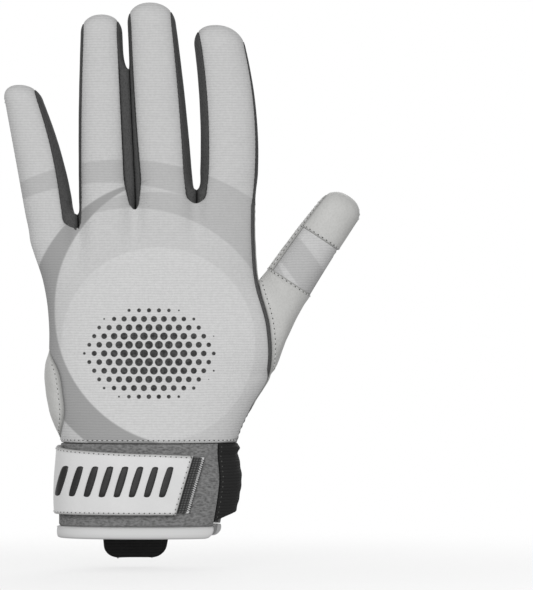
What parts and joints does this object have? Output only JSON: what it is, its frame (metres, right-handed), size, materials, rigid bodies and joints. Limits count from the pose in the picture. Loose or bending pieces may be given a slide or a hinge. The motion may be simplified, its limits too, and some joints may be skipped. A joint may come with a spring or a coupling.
{
  "type": "catchers inner glove",
  "caption": "Padded left-hand inner glove: knit back, leather palm and fingers with foam pads, stretch side walls, wrist cuff with strap closure and pull tab.",
  "frame": {"origin": "middle of the wrist opening, in the plane of the cuff's rim", "axes": "+Z from the wrist to the fingertips, -Y out of the back of the hand, +Y out of the palm, +X to the thumb side"},
  "size_m": [0.1539, 0.0511, 0.2426],
  "materials": {
    "knit": "light grey ribbed stretch knit",
    "leather": "pale grey goatskin-like leather, soft grain, stitched",
    "stretch": "dark grey stretch knit",
    "band": "heathered grey brushed loop fabric",
    "binding": "white woven edge binding",
    "strap": "light grey coated strap, stitched edge",
    "hook": "dark hook tape",
    "black": "black woven stretch fabric",
    "elastic": "grey elastic mesh",
    "foam": "soft closed-cell foam pad"
  },
  "bodies": {
    "root": {"back_knit_panel": "knit", "thumb_seam_piping": "stretch", "palm_leather_panel": "leather", "wrist_slit_gusset": "elastic", "palm_foam_pad": "foam", "web_little_ring": "stretch", "web_ring_middle": "stretch", "web_middle_index": "stretch", "thumb_gusset": "leather", "cuff_band": "band", "cuff_binding": "binding", "side_stretch_panel": "black", "hook_patch": "hook"},
    "strap": {"strap_tab": "strap"},
    "pull": {"pull_tab": "black"},
    "little_base": {"little_base_knit": "knit", "little_base_leather": "leather", "little_base_foam": "foam", "little_base_fourchette_radial": "stretch"},
    "little_tip": {"little_tip_knit": "knit", "little_tip_leather": "leather", "little_tip_foam": "foam", "little_tip_fourchette_radial": "stretch"},
    "ring_base": {"ring_base_knit": "knit", "ring_base_leather": "leather", "ring_base_foam": "foam", "ring_base_fourchette_ulnar": "stretch", "ring_base_fourchette_radial": "stretch"},
    "ring_tip": {"ring_tip_knit": "knit", "ring_tip_leather": "leather", "ring_tip_foam": "foam", "ring_tip_fourchette_ulnar": "stretch", "ring_tip_fourchette_radial": "stretch"},
    "middle_base": {"middle_base_knit": "knit", "middle_base_leather": "leather", "middle_base_foam": "foam", "middle_base_fourchette_ulnar": "stretch", "middle_base_fourchette_radial": "stretch"},
    "middle_tip": {"middle_tip_knit": "knit", "middle_tip_leather": "leather", "middle_tip_foam": "foam", "middle_tip_fourchette_ulnar": "stretch", "middle_tip_fourchette_radial": "stretch"},
    "index_base": {"index_base_knit": "knit", "index_base_leather": "leather", "index_base_foam": "foam", "index_base_fourchette_ulnar": "stretch", "index_base_fourchette_radial": "stretch"},
    "index_tip": {"index_tip_knit": "knit", "index_tip_leather": "leather", "index_tip_foam": "foam", "index_tip_fourchette_ulnar": "stretch", "index_tip_fourchette_radial": "stretch"},
    "thumb_base": {"thumb_base_knit": "knit", "thumb_base_leather": "leather", "thumb_base_strip": "leather"},
    "thumb_tip": {"thumb_tip_cap": "leather", "thumb_tip_leather": "leather", "thumb_tip_strip": "leather", "thumb_tip_foam": "foam"}
  },
  "joints": [
    {"name": "little_knuckle", "type": "hinge", "parent": "root", "child": "little_base", "pos_m": [-0.0397, 0.0099, 0.1295], "axis": [-1, 0, 0], "range_deg": [0, 80]},
    {"name": "little_joint", "type": "hinge", "parent": "little_base", "child": "little_tip", "pos_m": [-0.0434, 0.0092, 0.152], "axis": [-1, 0, 0], "range_deg": [0, 90]},
    {"name": "ring_knuckle", "type": "hinge", "parent": "root", "child": "ring_base", "pos_m": [-0.0175, 0.0107, 0.1395], "axis": [-1, 0, 0], "range_deg": [0, 80]},
    {"name": "ring_joint", "type": "hinge", "parent": "ring_base", "child": "ring_tip", "pos_m": [-0.0181, 0.0101, 0.163], "axis": [-1, 0, 0], "range_deg": [0, 90]},
    {"name": "middle_knuckle", "type": "hinge", "parent": "root", "child": "middle_base", "pos_m": [0.0097, 0.0109, 0.1454], "axis": [-1, 0, 0], "range_deg": [0, 80]},
    {"name": "middle_joint", "type": "hinge", "parent": "middle_base", "child": "middle_tip", "pos_m": [0.0078, 0.0104, 0.168], "axis": [-1, 0, 0], "range_deg": [0, 90]},
    {"name": "index_knuckle", "type": "hinge", "parent": "root", "child": "index_base", "pos_m": [0.0357, 0.0109, 0.1446], "axis": [-1, 0, 0], "range_deg": [0, 80]},
    {"name": "index_joint", "type": "hinge", "parent": "index_base", "child": "index_tip", "pos_m": [0.0368, 0.0103, 0.168], "axis": [-1, 0, 0], "range_deg": [0, 90]},
    {"name": "thumb_root", "type": "hinge", "parent": "root", "child": "thumb_base", "pos_m": [0.063, 0.0104, 0.1114], "axis": [-0.8349, 0, 0.5505], "range_deg": [0, 45]},
    {"name": "thumb_joint", "type": "hinge", "parent": "thumb_base", "child": "thumb_tip", "pos_m": [0.0757, 0.0094, 0.1301], "axis": [-0.8349, 0, 0.5505], "range_deg": [0, 70]},
    {"name": "strap_peel", "type": "hinge", "parent": "root", "child": "strap", "pos_m": [-0.0389, 0.0036, 0.025], "axis": [0, 0, -1], "range_deg": [0, 110]},
    {"name": "pull_lift", "type": "hinge", "parent": "root", "child": "pull", "pos_m": [-0.0027, 0.0242, 0.0335], "axis": [1, 0, 0], "range_deg": [0, 150]}
  ]
}
